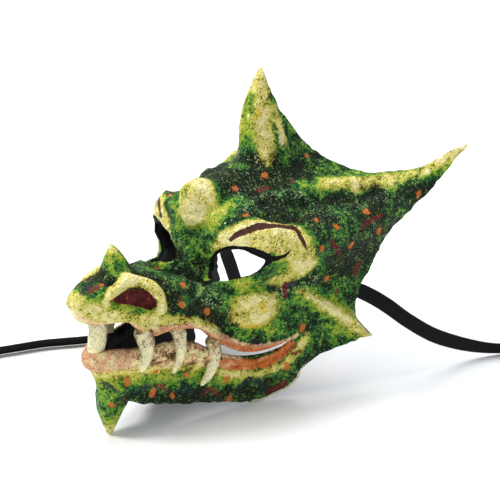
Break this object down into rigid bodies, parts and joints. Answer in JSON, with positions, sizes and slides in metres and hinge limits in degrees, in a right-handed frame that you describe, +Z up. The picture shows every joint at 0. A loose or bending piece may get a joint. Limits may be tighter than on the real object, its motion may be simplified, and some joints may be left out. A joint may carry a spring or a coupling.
{
  "type": "venetian dragon mask",
  "caption": "Full-face dragon mask in painted papier-mache, with a crest spike, side horns, a snout, bared fangs, eye holes and ribbon ties; stands on its chin spike and jaw.",
  "frame": {"origin": "under the middle of the mask's box, ties left out, on the surface that it stands on", "axes": "+Z up, -Y out of the face, +X the wearer's left"},
  "size_m": [0.4966, 0.4007, 0.25],
  "materials": {
    "painted_mache": "papier-mache painted in speckled greens and cream under a satin varnish, black inside",
    "ribbon": "black woven ribbon"
  },
  "bodies": {
    "root": {"mask_shell": "painted_mache", "ribbon_left": "ribbon", "ribbon_left_coil": "ribbon", "ribbon_right": "ribbon"}
  },
  "joints": []
}
